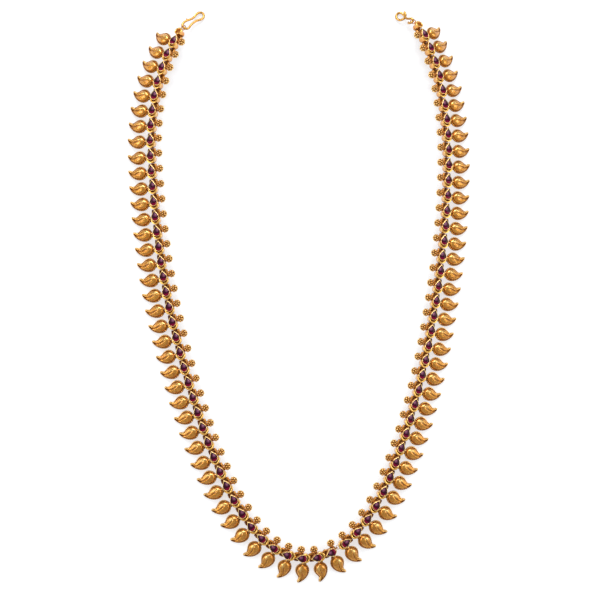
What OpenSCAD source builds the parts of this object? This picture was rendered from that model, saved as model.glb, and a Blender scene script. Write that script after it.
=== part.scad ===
// Long gold necklace: a row of linked settings, each with a pear-cut ruby,
// a curled mango drop on the outer side and a granule flower on the inner side.
// It lies open on a flat surface, seen from above, with its two hooks at the top.
// The origin is the middle of the whole piece on that surface, and +Z is up.

/* [Chain] */
// Number of settings in the row
links = 76; // [76:1:76]
// Settings of the left-hand kind, whose tips point to the left hook
left_links = 39; // [39:1:39]
// First joint of the row, left to right
start_x = -76.1; // [-77:0.1:-75]
// First joint of the row, bottom to top
start_y = 156.6; // [156:0.1:157.5]
// Joint to joint length that the settings are made for
reach = 9.35; // [9.3:0.05:9.4]
// Lean of a setting that rests on its cup and its mango tip
rest_lean = 15; // [14.5:0.5:15.5]

/* [Cup] */
// Radius of the cup at its rim
cup_r = 3.0; // [2.9:0.05:3.1]
// Height of the cup's rim
cup_h = 5.4; // [5.2:0.1:5.5]
// Thickness of the cup's wall at its rim
cup_wall = 0.65; // [0.6:0.05:0.7]
// Radius of the foot that the cup stands on
foot_r = 1.7; // [1.6:0.1:1.8]
// Height of the tapered foot
foot_h = 2.5; // [2.3:0.1:2.7]
// Distance of the cup's middle behind the stone's round end
cup_back = 1.4; // [1.4:0.05:1.5]
// Height of the hollow's floor
hollow_z = 3.8; // [3.7:0.1:3.9]

/* [Bezel] */
// Radius of the bezel's round end
bezel_r = 2.6; // [2.5:0.05:2.65]
// Length of the bezel's tip, from the middle of its round end
bezel_tip = 4.35; // [4.25:0.05:4.35]
// Height of the bezel's rim
bezel_h = 6.1; // [5.9:0.1:6.3]
// Width of the rim that holds the stone
bezel_wall = 0.35; // [0.35:0.05:0.45]
// Height of the seat under the stone
seat_z = 4.4; // [4.2:0.1:4.5]

/* [Stone] */
// Clearance round the stone
stone_gap = 0.12; // [0.1:0.01:0.14]
// Height of the stone's table
table_z = 6.45; // [6.3:0.05:6.6]
// Height of the stone's girdle
girdle_z = 5.7; // [5.6:0.05:5.8]

/* [Mango drop] */
// Distance of the drop's root from the middle of the setting
mango_x = 2.95; // [2.9:0.05:3]
// Offset of the drop towards the stone's tip
mango_y = 0.65; // [0.5:0.05:0.7]
// Radius of the drop's round body
mango_r = 4.15; // [4.1:0.05:4.15]
// Underside of the drop
mango_z = 3.7; // [3.6:0.05:3.8]
// Thickness of the drop's flat border
mango_edge = 1.0; // [0.9:0.05:1.1]
// Thickness of the drop at its highest
mango_full = 2.9; // [2.7:0.1:3]
// Width of the flat border round the dome
mango_border = 0.55; // [0.5:0.05:0.6]

/* [Flower bead] */
// Distance of the flower's middle from the middle of the setting
flower_x = 5.1; // [5.05:0.05:5.15]
// Offset of the flower towards the stone's tip
flower_y = 1.6; // [1.5:0.05:1.7]
// Height of the flower's middle
flower_z = 4.1; // [4:0.1:4.2]
// Radius of the round core
core_r = 1.55; // [1.5:0.05:1.6]
// Radius of a petal granule
petal_r = 0.72; // [0.7:0.01:0.75]
// Distance of the petal granules from the core's middle
petal_ring = 1.45; // [1.4:0.05:1.5]
// Number of petal granules
petals = 7; // [6:1:7]

/* [Lugs and rings] */
// Radius of the wire of the rings
wire_r = 0.2; // [0.18:0.01:0.2]
// Outer radius of a lug
lug_r = 0.92; // [0.9:0.01:0.93]
// Radius of the hole in a lug
lug_hole_r = 0.52; // [0.51:0.01:0.53]
// Height of the holes and of the rings
eye_z = 2.5; // [2.45:0.05:2.5]
// Radius of a ring, to the middle of its wire
ring_r = 1.25; // [1.23:0.01:1.27]

/* [Ends] */
// Distance of an end cup's middle from the last joint
end_cup_reach = 2.85; // [2.8:0.05:2.9]
// Radius of an end cup at its rim
end_cup_r = 2.6; // [2.5:0.05:2.6]
// Outer radius of the flat eye on an end cup
end_eye_r = 0.85; // [0.83:0.01:0.87]
// Radius of the hole in that eye
end_eye_hole_r = 0.45; // [0.44:0.01:0.46]
// Radius of an end ring, to the middle of its wire
end_ring_r = 1.65; // [1.62:0.01:1.67]
// Radius of the wire of an end ring
end_ring_wire_r = 0.28; // [0.26:0.01:0.28]
// Radius of the wire of the hooks
hook_wire_r = 0.76; // [0.74:0.01:0.78]

/* [Hidden] */
$fn = 32;
gold = "goldenrod";
ruby = "crimson";
// Running clearance at the joints
clear = 0.15;
// Middle of the pear's round end
stone_y = 0.1;
// Where the pear's sides leave its round end
pear_turn = 33;
// How far the pear's tip draws back when the outline shrinks by 1
pear_draw = 1.7;
// Base plate between the two lugs
plate_w = 4;
plate_z = 1.8;
plate_top = 3.5;
// Underside of the bezel
bezel_z = 2.7;
// Granules that flank the plate's end
shoulder_r = 0.7;
shoulder_x = 2.2;
shoulder_y = 0.4;
// Room under a rim or a tip for the ring and the next lug
room_depth = ring_r + wire_r + 2 * clear + 0.05;
room_low = 1.4;
room_z = 3.1;
// Mango drop: middle of its round body, heel at its root, curl of its tip, ridge and knob
body_x = mango_r + 0.8;
body_y = -0.7;
heel_x = 3.35;
heel_r = 3.0;
curl_x = 4.45;
curl_y = 3.62;
curl_r = 8.5;
notch_x = 10.5;
notch_y = 4.0;
notch_r = 3.1;
dome_ball_r = 5;
ridge_x = 4.5;
ridge_y = -1.0;
ridge_z = 0.6;
ridge_len = 7.2;
ridge_r = 2.0;
ridge_tip_r = 0.7;
ridge_turn = 10;
knob_x = 11.85;
knob_y = 0.85;
knob_r = 0.75;
// Farthest and lowest point of a drop from the setting's middle
mango_reach = 15.9;
// Solder joints between a setting and its drops
root_x = 2.3;
root_w = 1.5;
root_l = 1.2;
neck_x = 2.6;
neck_r = 0.8;
// Granule on top of the flower
seed_r = 0.85;
// Flat eye of an end cup, and how an end cup hangs
end_eye_t = 0.7;
end_eye_y = end_cup_reach + end_cup_r + end_eye_hole_r + 0.03;
end_slope = 16;
end_lean = 30;
// Middle of the hook's wire in its ring, halfway between the eye and the ring's far side
hook_y = (end_eye_r + 2 * end_ring_r - end_ring_wire_r) / 2;
// Height at which a hook's far end floats above the surface
hook_lift = 0.05;
// Sides of the hooks' wire, and steps between two rows of their tables
hook_sides = 10;
hook_steps = 3;

// How the row lies: a row for each stretch, and the values between follow straight lines.
// Columns: number of the link, bearing of the link, distance between its joints
lie = [
  [0, -117.5, 9.0],
  [4, -99.5, 9.1],
  [8, -87, 9.6],
  [14, -82, 9.3],
  [20, -75.5, 9.5],
  [26, -70.5, 9.5],
  [30, -64, 9.5],
  [33, -52.5, 9.5],
  [35, -33, 9.1],
  [37, -4.5, 9.0],
  [39, 28, 9.0],
  [41, 47.5, 9.7],
  [44, 64.5, 9.6],
  [48, 71.5, 9.3],
  [54, 78.5, 9.3],
  [60, 82.5, 9.5],
  [66, 89, 9.7],
  [71, 100, 9.3],
  [75, 116, 9.0]
];
// How the row twists at its ends, where each drop props up its setting.
// Columns: number of the link, extra lean
twist = [
  [0, 15],
  [2, 13.5],
  [5, 9],
  [10, 4],
  [16, 0],
  [60, 0],
  [66, 4],
  [71, 9],
  [74, 13.5],
  [75, 15]
];

// How the two ends lie, left and right.
// Columns: joint, side of the row that lies outside, bearing of the cup, turn of the ring in its eye,
// bearing of the hook
ends = [
  [0, -1, 74, -30, 32],
  [links, 1, 113, 38, 159]
];
// Wire of the left hook: two open loops in one line.
// Columns: away from the ring, across, up
left_hook = [
  [3.6, -1.4, 0],
  [5.6, -0.5, 0],
  [8.2, 0.1, 0],
  [10.4, 0.2, 0],
  [12.2, -0.1, 0],
  [14.3, -0.1, 0],
  [16.1, 1.1, 0],
  [16.3, 3.0, 0],
  [14.9, 4.1, 0],
  [13.0, 4.2, 0],
  [10.8, 3.4, 0],
  [8.7, 2.8, 0],
  [6.3, 2.8, 0],
  [4.1, 3.0, 0],
  [1.9, 2.7, 0],
  [0.3, 1.9, 0],
  [-0.15, 0.5, 0],
  [0.2, -0.8, 0],
  [1.4, -1.7, 0],
  [2.8, -1.8, 0]
];
// Wire of the right hook: a loop that crosses itself, with a short upright spur.
// Columns: away from the ring, across, up
right_hook = [
  [6.8, -4.0, 1.5],
  [5.8, -2.8, 1.3],
  [5.4, -1.6, 1.1],
  [5.7, -0.4, 0.9],
  [6.9, 0.6, 0.4],
  [8.5, 1.2, 0],
  [10.3, 0.9, 0],
  [11.6, -0.3, 0],
  [11.8, -1.8, 0],
  [11.1, -3.1, 0],
  [9.7, -3.6, -0.1],
  [8.1, -3.2, -0.4],
  [6.6, -2.3, -0.8],
  [5.1, -1.4, -1.0],
  [3.5, -1.1, -0.3],
  [1.7, -1.7, -0.3],
  [0.5, -1.2, -0.4],
  [0, 0, 0],
  [0.5, 1.2, 0.4],
  [1.7, 1.7, 0.1],
  [2.7, 1.3, -0.9],
  [3.1, 0.6, -1.7]
];
left_granule = [4.8, 3.8, 0];
granule_r = 0.5;

function column(table, n) = [for (row = table) [row[0], row[n]]];
// Bearing and lean of link k. Before the first link and past the last one come the end cups.
function bearing(k) =
  k < 0 ? ends[0][2] - 180 : k >= links ? ends[1][2] : lookup(k, column(lie, 1));
function spacing(k) = lookup(k, column(lie, 2));
function lean(k) = k < 0 || k >= links ? end_lean : rest_lean + lookup(k, column(twist, 1));

// Height of a setting's middle line above the surface at a given lean:
// its foot or the tip of its drop rests, whichever reaches lower.
function rest_height(a) = max(
  foot_r * sin(a) + eye_z * cos(a),
  mango_reach * sin(a) - (mango_z - eye_z) * cos(a)
);
function link_height(k) = rest_height(lean(min(max(k, 0), links - 1)));
// Past the row's last joints come the end cups, which slope down.
function joint_height(j) =
  j < 0 || j > links
    ? link_height(j) - reach * sin(end_slope)
    : (link_height(j - 1) + link_height(j)) / 2;

// The joints of the row on the surface, each one a link's length further along
joints = [
  for (k = 0, p = [start_x, start_y]; k <= links;
       p = p + spacing(k) * [cos(bearing(k)), sin(bearing(k))], k = k + 1) p
];

// Puts a setting's shape on link k. In it +X points out of the chain and +Y along it.
module on_link(k) {
  rise = joint_height(k + 1) - joint_height(k);
  middle = (joints[k] + joints[k + 1]) / 2;
  translate([middle[0], middle[1], (joint_height(k) + joint_height(k + 1)) / 2])
    rotate([0, 0, bearing(k) - 90])
      rotate([atan(rise / spacing(k)), 0, 0])
        rotate([0, lean(k), 0])
          translate([0, 0, -eye_z])
            children();
}

// Puts a shape on joint j, flat between its two links
module on_joint(j) {
  slope = atan((joint_height(j + 1) - joint_height(j - 1)) / (2 * reach));
  translate([joints[j][0], joints[j][1], joint_height(j)])
    rotate([0, 0, (bearing(j - 1) + bearing(j)) / 2 - 90])
      rotate([slope, 0, 0])
        rotate([0, (lean(j - 1) + lean(j)) / 2, 0])
          children();
}

// Flips a shape end for end
module flip(yes) {
  if (yes) mirror([0, 1, 0]) children();
  else children();
}

// Pear outline: a round end and two long arcs that meet in a tip on +Y.
// Distance from the round end's middle to the middle of a side's arc
function pear_swing(r, tip) = (tip * tip - r * r) / (2 * (r - tip * sin(pear_turn)));

module pear(inset) {
  r = bezel_r - inset;
  tip = bezel_tip - pear_draw * inset;
  swing = pear_swing(r, tip);
  circle(r);
  intersection() {
    translate(swing * [-cos(pear_turn), -sin(pear_turn)]) circle(swing + r, $fn = 480);
    translate(swing * [cos(pear_turn), -sin(pear_turn)]) circle(swing + r, $fn = 480);
    translate([-r, r * sin(pear_turn)]) square([2 * r, tip]);
  }
}

// Round cup on a tapered foot. Its hollow shows between the rim and the bezel.
module cup(r) {
  difference() {
    union() {
      cylinder(h = foot_h, r1 = foot_r, r2 = r);
      translate([0, 0, foot_h]) cylinder(h = cup_h - foot_h, r = r);
    }
    translate([0, 0, hollow_z]) cylinder(h = cup_h, r = r - cup_wall);
  }
}

// Flat upright lug with a hole for the ring
module lug() {
  rotate([0, 90, 0])
    difference() {
      cylinder(h = 2 * wire_r, r = lug_r, center = true);
      cylinder(h = 1, r = lug_hole_r, center = true);
    }
}

// Room for the ring and the next link's lug, under the rim or the tip
module joint_room() {
  width = 2 * (ring_r + wire_r + clear);
  translate([-width / 2, -room_depth, room_low]) cube([width, 3 * room_depth, room_z - room_low]);
}

// Outline of the mango drop, drawn with its root at 0 and its tip curling to +Y
module mango_outline() {
  translate([body_x, body_y]) circle(mango_r);
  translate([heel_x, body_y]) circle(heel_r);
  difference() {
    intersection() {
      translate([curl_x, curl_y]) circle(curl_r, $fn = 96);
      polygon([[body_x, -6], [13.5, -6], [13.5, 1.6], [8.7, 2.8], [body_x, 3]]);
    }
    translate([notch_x, notch_y]) circle(notch_r, $fn = 48);
  }
  translate([knob_x, knob_y]) circle(knob_r);
}

// Mango drop: flat border, domed body, ridge to the tip and a small knob
module mango() {
  linear_extrude(mango_edge) mango_outline();
  translate([body_x, body_y, 0])
    dome(r = mango_r - mango_border, ball_r = dome_ball_r, top = mango_full);
  difference() {
    translate([ridge_x, ridge_y, ridge_z])
      rotate([0, 90, ridge_turn]) cylinder(h = ridge_len, r1 = ridge_r, r2 = ridge_tip_r);
    translate([0, -mango_r, mango_edge / 2 - 10]) cube([20, 2 * mango_r, 10]);
  }
  translate([knob_x, knob_y, 0]) dome(r = knob_r, ball_r = knob_r, top = mango_edge + knob_r);
}

// Upright round column with a ball for its top
module dome(r, ball_r, top) {
  intersection() {
    cylinder(h = top + 1, r = r);
    union() {
      cylinder(h = 1, r = r);
      translate([0, 0, top - ball_r]) sphere(ball_r);
    }
  }
}

// Flower bead: a core in a ring of petal granules, with one granule on top
module flower() {
  translate([0, 0, -petal_r])
    linear_extrude(2 * petal_r) {
      circle(core_r);
      for (i = [0 : petals - 1])
        rotate(i * 360 / petals) translate([petal_ring, 0]) circle(petal_r);
    }
  sphere(core_r);
  translate([0, 0, core_r - 0.1]) sphere(seed_r);
}

// One soldered setting without its drops. Its tip points to +Y.
module setting(with_cup = true) {
  plate_end = reach / 2 - room_depth;
  difference() {
    union() {
      if (with_cup) translate([0, stone_y - cup_back, 0]) cup(cup_r);
      translate([-plate_w / 2, -plate_end, plate_z]) cube([plate_w, 2 * plate_end, plate_top - plate_z]);
      translate([0, stone_y, bezel_z]) linear_extrude(bezel_h - bezel_z) pear(0);
    }
    translate([0, stone_y, seat_z]) linear_extrude(bezel_h) pear(bezel_wall);
    for (back = [true, false]) flip(back) translate([0, reach / 2, 0]) joint_room();
  }
  for (s = [-1, 1]) {
    translate([0, s * (reach / 2 - ring_r), eye_z]) lug();
    translate([s * shoulder_x, plate_end + shoulder_y, eye_z]) sphere(shoulder_r);
  }
}

// What a setting carries: the mango drop on +X and the flower bead on -X
module drops() {
  translate([root_x, mango_y + body_y - root_l / 2, mango_z + 0.2]) cube([root_w, root_l, root_l]);
  translate([mango_x, mango_y, mango_z]) mango();
  translate([-flower_x, flower_y, flower_z]) flower();
  translate([-neck_x, flower_y, flower_z - petal_r]) cylinder(h = 2 * petal_r, r = neck_r);
}

// Pear-cut stone: table, crown facets, girdle and pavilion facets
function pear_point(a, inset) =
  let (r = bezel_r - inset, tip = bezel_tip - pear_draw * inset, swing = pear_swing(r, tip))
  a <= 180 + 2 * pear_turn
    ? [r * cos(a + 180 - pear_turn), r * sin(a + 180 - pear_turn)]
    : let (
        t = (a - 180 - 2 * pear_turn) / (180 - 2 * pear_turn),
        side = t < 0.5 ? 1 : -1,
        y = tip - (tip - r * sin(pear_turn)) * abs(1 - 2 * t),
        rise = y + swing * sin(pear_turn)
      )
      [side * (sqrt((swing + r) * (swing + r) - rise * rise) - swing * cos(pear_turn)), y];

// Angles round the stone's outline: the round end first, then both sides of the tip
stone_angles = [0, 41, 82, 123, 164, 205, 246, 275, 303, 331];

module stone() {
  n = len(stone_angles);
  girdle = bezel_wall + stone_gap;
  rings = [[seat_z + stone_gap, girdle + 1.1], [girdle_z - 0.3, girdle], [girdle_z, girdle], [table_z, girdle + 0.75]];
  points = [for (ring = rings) for (a = stone_angles) concat(pear_point(a, ring[1]), [ring[0]])];
  sides = [
    for (level = [0 : len(rings) - 2]) for (i = [0 : n - 1])
      let (a = level * n + i, b = level * n + (i + 1) % n) each [[a, a + n, b + n], [a, b + n, b]]
  ];
  bottom = [[for (i = [0 : n - 1]) i]];
  top = [[for (i = [n - 1 : -1 : 0]) (len(rings) - 1) * n + i]];
  translate([0, stone_y, 0]) polyhedron(points = points, faces = concat(sides, bottom, top), convexity = 4);
}

// Round jump ring
module jump_ring() {
  rotate_extrude() translate([ring_r, 0]) circle(wire_r, $fn = 16);
}

// Settings of a range of links. Up to the middle their tips point back to the left hook.
// The link after the middle has no cup of its own, and its neighbour's cup holds its round end.
module settings(first, last) {
  for (k = [first : last])
    on_link(k) {
      flip(k <= left_links) setting(with_cup = k != left_links);
      flip(k < left_links) drops();
    }
}

module stones(first, last) {
  for (k = [first : last])
    on_link(k) flip(k <= left_links) stone();
}

module settings_left() { color(gold) settings(0, left_links - 1); }
module settings_right() { color(gold) settings(left_links, links - 1); }
module rubies_left() { color(ruby) stones(0, left_links - 1); }
module rubies_right() { color(ruby) stones(left_links, links - 1); }
module rings_left() { color(gold) for (j = [0 : left_links - 1]) on_joint(j) jump_ring(); }
module rings_right() { color(gold) for (j = [left_links : links]) on_joint(j) jump_ring(); }

// Puts a shape on an end joint. In it +Y points along the end cup to the hook.
module on_end(end) {
  j = end[0];
  translate([joints[j][0], joints[j][1], joint_height(j)])
    rotate([0, 0, end[2] - 90])
      rotate([-end_slope, 0, 0])
        rotate([0, end[1] * end_lean, 0])
          children();
}

// Where the hook's wire passes through its ring
function hook_point(end) =
  let (
    j = end[0],
    tilt = end[1] * end_lean,
    x = -hook_y * sin(end[3]),
    y = end_eye_y + hook_y * cos(end[3]),
    side = x * cos(tilt),
    rise = -x * sin(tilt),
    ahead = y * cos(end_slope) + rise * sin(end_slope)
  )
  [
    joints[j][0] + side * sin(end[2]) + ahead * cos(end[2]),
    joints[j][1] - side * cos(end[2]) + ahead * sin(end[2]),
    joint_height(j) - y * sin(end_slope) + rise * cos(end_slope)
  ];

// Empty cup that ends the row, with a lug for the last ring and a flat eye for its own ring
module end_cup(end) {
  on_end(end)
    translate([0, 0, -eye_z]) {
      difference() {
        translate([0, end_cup_reach, 0]) cup(end_cup_r);
        flip(true) joint_room();
      }
      translate([0, ring_r, eye_z]) lug();
      translate([0, end_eye_y, eye_z])
        difference() {
          cylinder(h = end_eye_t, r = end_eye_r, center = true);
          cylinder(h = 1, r = end_eye_hole_r, center = true);
        }
    }
}

// Upright ring between the eye of an end cup and the hook
module end_ring(end) {
  on_end(end)
    translate([0, end_eye_y, 0])
      rotate([0, 0, end[3]])
        translate([0, end_ring_r, 0])
          rotate([0, 90, 0])
            rotate_extrude() translate([end_ring_r, 0]) circle(end_ring_wire_r, $fn = 16);
}

// Points along a smooth curve through all the rows of a table
function smooth(p, steps) = [
  for (i = [0 : len(p) - 2]) for (s = [0 : steps - 1])
    let (a = p[max(i - 1, 0)], b = p[i], c = p[i + 1], d = p[min(i + 2, len(p) - 1)], t = s / steps)
      0.5 * (2 * b + (c - a) * t + (2 * a - 5 * b + 4 * c - d) * t * t + (3 * b - a - 3 * c + d) * t * t * t),
  p[len(p) - 1]
];
function unit(v) = v / norm(v);

// Round wire along a path, with flat ends
module wire(path, r, sides) {
  n = len(path);
  points = [
    for (i = [0 : n - 1])
      let (
        along = unit(path[min(i + 1, n - 1)] - path[max(i - 1, 0)]),
        across = unit(cross([0, 0, 1], along)),
        up = cross(along, across)
      )
      for (j = [0 : sides - 1])
        path[i] + r * (cos(360 * j / sides) * across + sin(360 * j / sides) * up)
  ];
  skin = [
    for (i = [0 : n - 2]) for (j = [0 : sides - 1])
      let (a = i * sides + j, b = i * sides + (j + 1) % sides)
        each [[a, a + sides, b + sides], [a, b + sides, b]]
  ];
  near_end = [for (j = [0 : sides - 1]) j];
  far_end = [for (j = [sides - 1 : -1 : 0]) (n - 1) * sides + j];
  polyhedron(points = points, faces = concat(skin, [near_end, far_end]), convexity = 8);
}

// Wire hook, which slopes from its ring down to the surface
module hook(end, table) {
  foot = hook_point(end);
  length = max([for (p = table) p[0]]);
  translate(foot)
    rotate([0, 0, end[4]])
      rotate([0, asin((foot[2] - hook_wire_r - hook_lift) / length), 0]) {
        wire(smooth(table, hook_steps), hook_wire_r, hook_sides);
        children();
      }
}

module end_cup_left() { color(gold) end_cup(ends[0]); }
module end_cup_right() { color(gold) end_cup(ends[1]); }
module end_ring_left() { color(gold) end_ring(ends[0]); }
module end_ring_right() { color(gold) end_ring(ends[1]); }
module hook_left() { color(gold) hook(ends[0], left_hook) translate(left_granule) sphere(granule_r); }
module hook_right() { color(gold) hook(ends[1], right_hook); }

settings_left();
settings_right();
rubies_left();
rubies_right();
rings_left();
rings_right();
end_cup_left();
end_cup_right();
end_ring_left();
end_ring_right();
hook_left();
hook_right();
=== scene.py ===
# %% [markdown]
# # A long necklace of gold mango drops
#
# The real piece is a row of 76 small gold settings. Each one holds a pear-cut ruby, a puffed
# drop in the shape of a mango and a bead like a flower, soldered up from gold granules.
# It could be built link by link with linked copies of objects, but hundreds of separate
# objects are slow and hard to check. Here each kind of part is made once, as a small form in
# millimetres, and then stamped along the row into one mesh for each side of the neck.
#
# The exact solids are loaded first. Each form here keeps the place and the main sizes of its
# solid, and is shown instead of it.

# %% Load the solids
import math

import bpy
import numpy as np
from mathutils import Matrix, Vector


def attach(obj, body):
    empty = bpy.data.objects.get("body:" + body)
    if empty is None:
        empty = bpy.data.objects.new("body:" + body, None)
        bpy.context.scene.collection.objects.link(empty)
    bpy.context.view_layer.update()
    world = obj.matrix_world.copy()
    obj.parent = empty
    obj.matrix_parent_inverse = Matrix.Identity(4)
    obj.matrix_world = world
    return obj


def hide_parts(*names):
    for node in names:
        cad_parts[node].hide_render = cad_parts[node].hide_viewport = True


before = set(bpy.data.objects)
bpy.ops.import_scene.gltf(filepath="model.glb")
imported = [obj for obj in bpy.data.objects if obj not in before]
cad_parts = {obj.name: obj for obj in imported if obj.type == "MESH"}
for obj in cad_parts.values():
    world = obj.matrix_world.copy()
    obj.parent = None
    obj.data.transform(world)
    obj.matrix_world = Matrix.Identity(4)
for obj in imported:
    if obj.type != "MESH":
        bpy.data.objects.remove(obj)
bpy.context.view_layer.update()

MM = 0.001


# %% [markdown]
# ## How the row lies
#
# On the real necklace every link turns a little against the last one, and the whole row lies
# as an open U. A curve with an array modifier would place the links too, but it can't tip each
# one onto its foot and its drop. So the row is walked link by link: a short table gives the
# bearing of a few links, and straight lines fill in the rest. These are the same numbers and
# the same steps as in the solids.
#
# Links and joints are counted from the left end, and lengths are in millimetres. The two end
# cups take the numbers before the first link and after the last one.

# %% The tables of the row
LINKS = 76
LEFT_LINKS = 39
# The first joint, from left to right and from the bottom of the U to its hooks
START = np.array([-76.1, 156.6])
# The length between its joints that a link is made for
REACH = 9.35
# A link rests on its cup's foot and its drop's tip, which tips it by its lean
REST_LEAN = 15
FOOT_R = 1.7
MANGO_REACH = 15.9
MANGO_Z = 3.7
EYE_Z = 2.5
# The end cups slope down to the hooks, and lean more
END_SLOPE = 16
END_LEAN = 30
# Columns: number of the link, bearing of the link, distance between its joints
LIE = np.array([
    (0, -117.5, 9.0), (4, -99.5, 9.1), (8, -87, 9.6), (14, -82, 9.3), (20, -75.5, 9.5),
    (26, -70.5, 9.5), (30, -64, 9.5), (33, -52.5, 9.5), (35, -33, 9.1), (37, -4.5, 9.0),
    (39, 28, 9.0), (41, 47.5, 9.7), (44, 64.5, 9.6), (48, 71.5, 9.3), (54, 78.5, 9.3),
    (60, 82.5, 9.5), (66, 89, 9.7), (71, 100, 9.3), (75, 116, 9.0),
])
# Columns: number of the link, extra lean
TWIST = np.array([
    (0, 15), (2, 13.5), (5, 9), (10, 4), (16, 0), (60, 0), (66, 4), (71, 9), (74, 13.5), (75, 15),
])
# For the left and the right end: joint, side that lies outside, bearing of the cup,
# turn of the ring in its eye, bearing of the hook
ENDS = {"left": (0, -1, 74, -30, 32), "right": (LINKS, 1, 113, 38, 159)}
print("links on the left and on the right:", LEFT_LINKS, LINKS - LEFT_LINKS)

# %% [markdown]
# Between two rows of a table the numbers change evenly, and NumPy's interp works that out. How
# high a link lies follows from its lean, because it rests on its cup's foot or on its drop.

# %% Walk along the row
def bearing(k):
    """Direction of a link on the sheet, in degrees from the right towards the hooks."""
    if k < 0:
        return ENDS["left"][2] - 180
    if k >= LINKS:
        return ENDS["right"][2]
    return np.interp(k, LIE[:, 0], LIE[:, 1])


def spacing(k):
    return np.interp(k, LIE[:, 0], LIE[:, 2])


def lean(k):
    if k < 0 or k >= LINKS:
        return END_LEAN
    return REST_LEAN + np.interp(k, TWIST[:, 0], TWIST[:, 1])


def link_height(k):
    """Height of a link's eyes, as it rests on its foot or on its drop."""
    a = math.radians(lean(min(max(k, 0), LINKS - 1)))
    on_foot = FOOT_R * math.sin(a) + EYE_Z * math.cos(a)
    on_drop = MANGO_REACH * math.sin(a) - (MANGO_Z - EYE_Z) * math.cos(a)
    return max(on_foot, on_drop)


def joint_height(j):
    if j < 0 or j > LINKS:
        return link_height(j) - REACH * math.sin(math.radians(END_SLOPE))
    return (link_height(j - 1) + link_height(j)) / 2


def stride(k):
    """The way from a link's first joint to its second."""
    a = math.radians(bearing(k))
    return [spacing(k) * math.cos(a), spacing(k) * math.sin(a)]


JOINTS = START + np.vstack([[0, 0], np.cumsum([stride(k) for k in range(LINKS)], axis=0)])
print("length of the row in mm:", round(sum(spacing(k) for k in range(LINKS))))

# %% [markdown]
# A place is a 4 by 4 matrix, as in Blender itself: the last column moves, the rest turns.
# Matrices are multiplied in the order in which the turns are read, from the table to the link.

# %% Places on the row
FLIP = np.diag([1.0, -1.0, 1.0, 1.0])


def moved(x, y, z):
    place = np.eye(4)
    place[:3, 3] = x, y, z
    return place


def turned(axis, degrees):
    first, second = {"x": (1, 2), "y": (2, 0), "z": (0, 1)}[axis]
    c, s = math.cos(math.radians(degrees)), math.sin(math.radians(degrees))
    place = np.eye(4)
    place[first, first] = place[second, second] = c
    place[first, second], place[second, first] = -s, s
    return place


def on_link(k):
    rise = joint_height(k + 1) - joint_height(k)
    x, y = (JOINTS[k] + JOINTS[k + 1]) / 2
    z = (joint_height(k) + joint_height(k + 1)) / 2
    slope = math.degrees(math.atan(rise / spacing(k)))
    return (moved(x, y, z) @ turned("z", bearing(k) - 90) @ turned("x", slope)
            @ turned("y", lean(k)) @ moved(0, 0, -EYE_Z))


def on_joint(j):
    rise = joint_height(j + 1) - joint_height(j - 1)
    slope = math.degrees(math.atan(rise / (2 * REACH)))
    return (moved(*JOINTS[j], joint_height(j)) @ turned("z", (bearing(j - 1) + bearing(j)) / 2 - 90)
            @ turned("x", slope) @ turned("y", (lean(j - 1) + lean(j)) / 2))


def on_end(side):
    joint, outside, cup_bearing = ENDS[side][:3]
    return (moved(*JOINTS[joint], joint_height(joint)) @ turned("z", cup_bearing - 90)
            @ turned("x", -END_SLOPE) @ turned("y", outside * END_LEAN))


def places(last_left):
    """The places of each side's links. Up to last_left they are mirrored."""
    at = [on_link(k) @ FLIP if k <= last_left else on_link(k) for k in range(LINKS)]
    return {"left": at[:LEFT_LINKS], "right": at[LEFT_LINKS:]}


# The first link of the right side still has its stone turned as on the left side
DROP_PLACES = places(LEFT_LINKS - 1)
STONE_PLACES = places(LEFT_LINKS)
for k in (0, LINKS - 1):
    print("link", k, "stands at", np.round(on_link(k)[:3, 3], 1))

# %% [markdown]
# ## Forms, and how they are stamped
#
# A form is a list of points and the faces between them, with one more number for each point, its tone. On
# gold the tone above zero says how much grime and painted shade lie there, and below zero how much the gold
# is rubbed bright and carries a painted highlight: old gold shines on every edge and is dark brown in every
# corner, and the tone also paints shade into creases, gaps and sides turned from the light.
# A texture could be painted for this, but edges and corners are known while the form is made,
# so the number is written then and the material reads it later.
#
# Stamping turns the form's points to each place, and joins all the copies in one mesh.
# NumPy does that for a whole copy at once. Each copy also keeps the point's own place in the
# form, so that the fine scratches of the material turn with the link.

# %% A form
# Tones for small parts that have the same tone all over. The lowest is rubbing with a painted highlight, and
# the higher ones are grime and painted shade
RUBBED_AND_LIT = -0.5
CLEAN = 0.1
DULL = 0.3
SHADED = 0.6
DARK = 1.2


class Form:
    """Points in millimetres, the faces between them and the tone at each point."""

    def __init__(self):
        self.points, self.faces, self.tone = [], [], []

    def add(self, points, faces, tone=0.0):
        start = len(self.points)
        self.points.extend(tuple(float(v) for v in p) for p in points)
        self.faces.extend([start + i for i in face] for face in faces)
        self.tone.extend(np.broadcast_to(np.asarray(tone, float), (len(points),)).tolist())
        return self

    def triangles(self):
        return sum(len(face) - 2 for face in self.faces)


print("a face of three corners makes", Form().add(np.eye(3), [[0, 1, 2]]).triangles(), "triangle")

# %% Stamping
# Each copy reads the grain of the gold this far from the last copy
OWN_STEP = 37.0
# A bend sharper than this stays an edge in a smooth form
SHARP_ANGLE = math.radians(48)
print("edges stay sharp from a bend of", round(math.degrees(SHARP_ANGLE)), "degrees")


def placed(name, data):
    """A new object in the scene that shows the data."""
    thing = bpy.data.objects.new(name, data)
    bpy.context.scene.collection.objects.link(thing)
    return thing


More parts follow.
